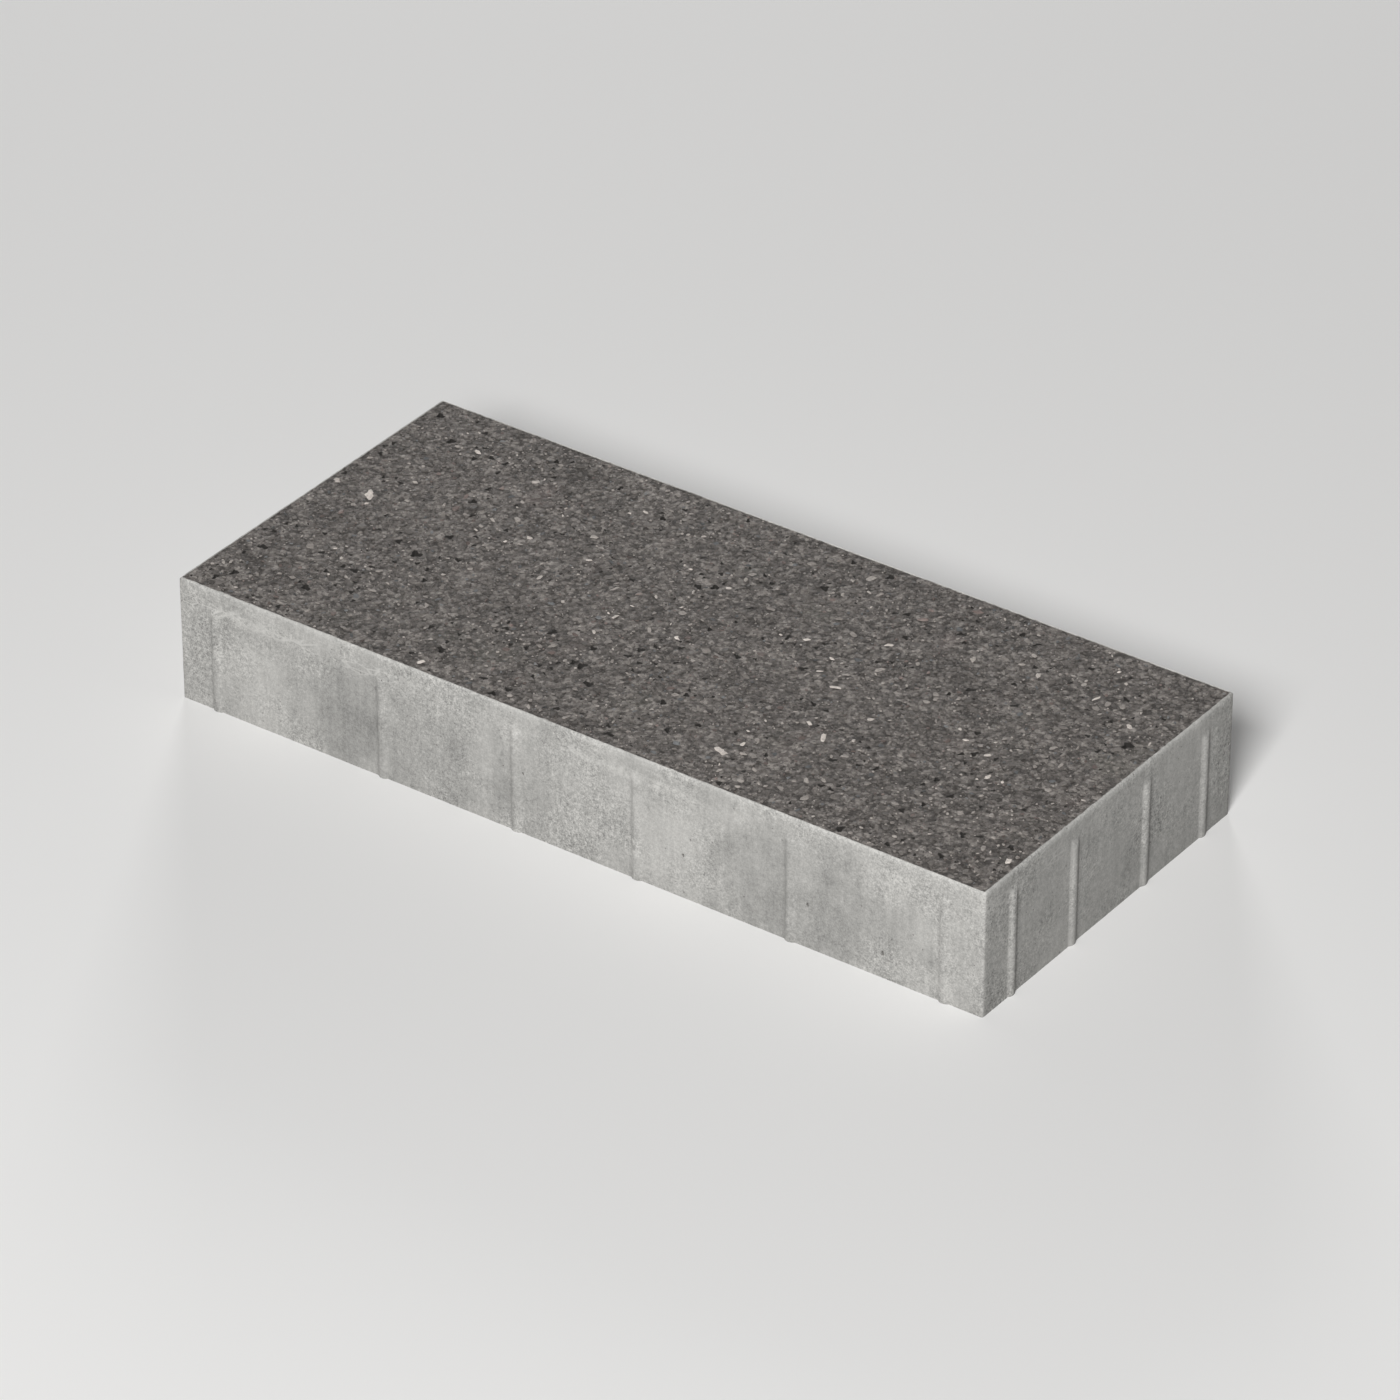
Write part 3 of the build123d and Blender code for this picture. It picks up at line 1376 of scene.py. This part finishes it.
@dataclass
class FaceStones:
    """The stones that show in the walking face, each a small closed faceted form."""

    shape: BlockShape
    relief: FaceRelief
    pits: Sequence[Disc]
    coarse: tuple[StoneMix, ...] = (FLAKES, CHIPS, DARK_STONES, GRAINS)
    fine: tuple[StoneMix, ...] = (GRIT,)
    rim: float = 2.6 * MM
    spacing: float = 0.88
    square: float = 12.0 * MM
    tries: int = 12
    small_bias: float = 2.5
    gathering: Span = (0.2, 0.8)
    root: float = 0.6 * MM
    skirt: float = 0.15 * MM
    peak: float = 0.02 * MM
    clearance: float = 0.02 * MM
    corner_jitter: Span = (-0.35, 0.35)
    top_share: Span = (0.55, 0.82)
    tilt: float = 0.09
    calm_spread: float = 0.65
    rough_spread: float = 0.7
    dark_swing: float = 0.5
    map_share: float = 0.49
    seed: int = 921

    def build(self) -> list[bpy.types.Object]:
        """Places the stones between the pits, the coarse first, and joins the coarse and the fine.

        Returns:
            The new objects, linked to the scene.
        """
        chance = np.random.default_rng(self.seed)
        taken: Squares = defaultdict(list)
        for x, y, radius in self.pits:
            taken[self.square_of(x, y)].append((x, y, radius))
        return [
            self.joined("face_grains", self.coarse, taken, chance),
            self.joined("face_grit", self.fine, taken, chance),
        ]

    def square_of(self, x: float, y: float) -> tuple[int, int]:
        """The square of the face that a place lies in, by column and row."""
        return math.floor(x / self.square), math.floor(y / self.square)

    def roughness(self, x: float, y: float) -> float:
        """How rough the face is at a place, from about 0 to 1."""
        return self.relief.patchiness(Vector((x, y, self.shape.height)))

    def joined(
        self, name: str, mixes: Sequence[StoneMix], taken: Squares, chance: np.random.Generator
    ) -> bpy.types.Object:
        """Makes the stones of some mixes as one object.

        Args:
            name: The object's name.
            mixes: The mixes, in the order in which they find room.
            taken: Stones and pits so far, by square of the face, which gains the new stones.
            chance: Random source.

        Returns:
            The new object, linked to the scene.
        """
        points: list[np.ndarray] = []
        faces: list[np.ndarray] = []
        shades: list[np.ndarray] = []
        hues: list[np.ndarray] = []
        start = 0
        for mix in mixes:
            for spot in self.spots(mix, taken, chance):
                stone, stone_faces = self.stone(mix, spot, chance)
                points.append(stone)
                faces.append(stone_faces + start)
                start += len(stone)
                shades.append(np.full(len(stone), self.shade(mix, spot, chance)))
                hues.append(np.full(len(stone), chance.uniform()))
        places = np.concatenate(points)
        mesh = bpy.data.meshes.new(name)
        mesh.from_pydata(places.tolist(), [], np.concatenate(faces).tolist())
        hold(mesh, "shade", np.concatenate(shades))
        hold(mesh, "hue", np.concatenate(hues))
        owners = listed(mesh.loops, "vertex_index", int)
        halves = np.array([self.shape.half_length, self.shape.half_width])
        spread = 0.5 + self.map_share * places[owners, :2] / halves
        mesh.uv_layers.new(name=COLOUR_MAP).data.foreach_set("uv", spread.ravel())
        mesh.update()
        return placed(name, mesh)

    def shade(self, mix: StoneMix, spot: Spot, chance: np.random.Generator) -> float:
        """The shade of one stone, which varies more where the face is rough.

        Args:
            mix: Its kind.
            spot: Its place.
            chance: Random source.

        Returns:
            How much light it gives back.
        """
        spread = mix.spread * (self.calm_spread + self.rough_spread * self.roughness(*spot[:2]))
        swing = chance.normal()
        if swing < 0.0:
            swing *= self.dark_swing
        return min(mix.shade * math.exp(spread * swing), mix.palest)

    def spots(self, mix: StoneMix, taken: Squares, chance: np.random.Generator) -> list[Spot]:
        """Finds room for the stones of one mix.

        Args:
            mix: The stones.
            taken: Stones and pits so far, by square of the face, which gains the new stones.
            chance: Random source.

        Returns:
            The place, radius and turn of each new stone.
        """
        reach_x = self.shape.half_length - self.rim
        reach_y = self.shape.half_width - self.rim
        least, most = mix.size
        found: list[Spot] = []
        for _ in range(self.tries * mix.count):
            if len(found) == mix.count:
                break
            radius = 0.5 * (least + (most - least) * chance.uniform() ** self.small_bias)
            x = chance.uniform(-reach_x + radius, reach_x - radius)
            y = chance.uniform(-reach_y + radius, reach_y - radius)
            if mix.gathered and self.roughness(x, y) < chance.uniform(*self.gathering):
                continue
            column, row = self.square_of(x, y)
            near = (
                disc
                for i in (column - 1, column, column + 1)
                for j in (row - 1, row, row + 1)
                for disc in taken[i, j]
            )
            if any(math.hypot(x - a, y - b) < self.spacing * (radius + r) for a, b, r in near):
                continue
            taken[column, row].append((x, y, radius))
            found.append((x, y, radius, chance.uniform(0.0, math.tau)))
        return found

    def stone(
        self, mix: StoneMix, spot: Spot, chance: np.random.Generator
    ) -> tuple[np.ndarray, np.ndarray]:
        """One stone, with a flat tilted top, slanting sides and a point below the face.

        Args:
            mix: Its kind.
            spot: Its place, longer half width and turn.
            chance: Random source.

        Returns:
            Its points and its faces.
        """
        x, y, radius, turn = spot
        n = mix.corners
        base = self.shape.height - self.relief.sunk + self.relief.height(Vector((x, y, self.shape.height)))
        angle = (np.arange(n) + chance.uniform(*self.corner_jitter, n)) * math.tau / n
        reach = radius * chance.uniform(1.0 - mix.ragged, 1.0, n)
        slim = chance.uniform(*mix.slimness)
        local = np.column_stack([np.cos(angle) * reach, np.sin(angle) * reach * slim])
        spin = np.array([[math.cos(turn), math.sin(turn)], [-math.sin(turn), math.cos(turn)]])
        outline = local @ spin
        top = outline * chance.uniform(*self.top_share)
        proud = chance.uniform(*mix.proud)
        tilt = chance.normal(0.0, self.tilt, 2)
        skirt = np.column_stack([outline, np.full(n, -self.skirt)])
        crown = np.column_stack([top, proud + top @ tilt])
        tips = np.array([[0.0, 0.0, proud + self.peak], [0.0, 0.0, -self.root]])
        points = np.concatenate([skirt, crown, tips]) + np.array([x, y, base])
        points[:, 2] = np.minimum(points[:, 2], self.shape.height - self.clearance)
        ring = np.arange(n)
        ahead = np.roll(ring, -1)
        sides = np.stack([ring, ahead, ahead + n, ring, ahead + n, ring + n], axis=1).reshape(-1, 3)
        cap = np.stack([ring + n, ahead + n, np.full(n, 2 * n)], axis=1)
        cone = np.stack([ahead, ring, np.full(n, 2 * n + 1)], axis=1)
        return points, np.concatenate([sides, cap, cone])


@dataclass(frozen=True)
class Lamp:
    """A soft lamp: a square panel that points at the block."""

    name: str
    place: Place
    width: float
    watts: float

    def build(self) -> bpy.types.Object:
        """Makes the lamp.

        Returns:
            The new object, linked to the scene.
        """
        data = bpy.data.lights.new(self.name, "AREA")
        data.shape = "SQUARE"
        data.size = self.width
        data.energy = self.watts
        lamp = placed(self.name, data)
        point_at(lamp, self.place, (0.0, 0.0, 0.0))
        return lamp


@dataclass(frozen=True)
class Studio:
    """A pale floor, soft lamps, an even pale surround and the camera."""

    lamps: tuple[Lamp, ...] = (
        Lamp("key_panel", place=(1.94, -4.45, 3.53), width=1.6, watts=348.0),
        Lamp("back_panel", place=(-2.6, 3.4, 0.55), width=1.0, watts=125.0),
    )
    floor_half: float = 6.0
    floor_shown: Colour = (0.90, 0.895, 0.885)
    floor_bounce: Colour = (0.38, 0.378, 0.374)
    surround: Colour = (0.80, 0.80, 0.80)
    surround_light: float = 0.12
    camera_place: Place = (2.0899, -2.9072, 2.3167)
    camera_aim: Place = (0.0, 0.0, 0.036)
    lens: float = 196.0
    sensor: float = 36.0

    @staticmethod
    def seen(graph: Graph) -> Signal:
        """Tells what is seen from what only gives light.

        Args:
            graph: The graph that its nodes join.

        Returns:
            1 where the camera sees a surface, directly, in a gloss or through glass, and 0 elsewhere.
        """
        path = graph.node("ShaderNodeLightPath")
        direct, glossy, through = (
            Signal(graph, path.outputs[name])
            for name in ("Is Camera Ray", "Is Glossy Ray", "Is Transmission Ray")
        )
        return direct.most(glossy).most(through)

    def build_floor(self) -> bpy.types.Object:
        """Makes the floor that the block lies on.

        Returns:
            The new object.
        """
        reach = self.floor_half
        corners = [(-reach, -reach, 0.0), (reach, -reach, 0.0), (reach, reach, 0.0), (-reach, reach, 0.0)]
        mesh = bpy.data.meshes.new("floor")
        mesh.from_pydata(corners, [], [(0, 1, 2, 3)])

        def dress(graph: Graph) -> dict[str, Any]:
            """Plain and matte: pale to look at, and darker in the light that it throws back."""
            colour = graph.blend(self.seen(graph), self.floor_bounce, self.floor_shown)
            return {"Base Color": colour, "Roughness": 0.9, "Specular IOR Level": 0.2}

        mesh.materials.append(matte_material("floor", dress))
        floor = placed("floor", mesh)
        return floor

    def build_surround(self) -> None:
        """Lights the scene evenly from all round, and shows a pale ground behind the floor."""
        world = bpy.data.worlds.new("surround")
        world.use_nodes = True
        bpy.context.scene.world = world
        graph = Graph(world.node_tree)
        strength = self.surround_light + (1.0 - self.surround_light) * self.seen(graph)
        sky = graph.node("ShaderNodeBackground", sockets={"Color": self.surround, "Strength": strength})
        graph.node("ShaderNodeOutputWorld", sockets={0: sky.outputs[0]})

    def build_camera(self) -> bpy.types.Object:
        """Makes the camera and gives it to the scene.

        Returns:
            The new object.
        """
        data = bpy.data.cameras.new("camera")
        data.lens = self.lens
        data.sensor_width = self.sensor
        camera = placed("camera", data)
        point_at(camera, self.camera_place, self.camera_aim)
        bpy.context.scene.camera = camera
        return camera

    def build(self) -> None:
        """Makes everything round the block."""
        bpy.context.scene.view_settings.view_transform = "Standard"
        self.build_floor()
        self.build_surround()
        self.build_camera()
        for lamp in self.lamps:
            lamp.build()


def main() -> None:
    """Builds the dressed block and the studio round it."""
    logging.basicConfig(level=logging.INFO, format="%(name)s: %(message)s")
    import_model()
    shape = BlockShape.from_frame()
    relief = FaceRelief()

    block = BlockBody(shape, relief)
    body = block.build()
    for material in (
        GranulateFinish().make(shape),
        PressedFinish("pressed_wall").make(shape),
        PressedFinish("pressed_bed", relief=0.5 * MM).make(shape),
    ):
        body.data.materials.append(material)
    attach(body, BODY)
    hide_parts(NODE)

    stones = FaceStones(shape, relief, block.pits).build()
    stone_material = StoneFinish().make()
    for piece in stones:
        piece.data.materials.append(stone_material)
        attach(piece, BODY)

    for piece in (body, *stones):
        piece.data.calc_loop_triangles()
        LOG.info("%s: %d triangles", piece.name, len(piece.data.loop_triangles))
    Studio().build()


if __name__ == "__main__":
    main()
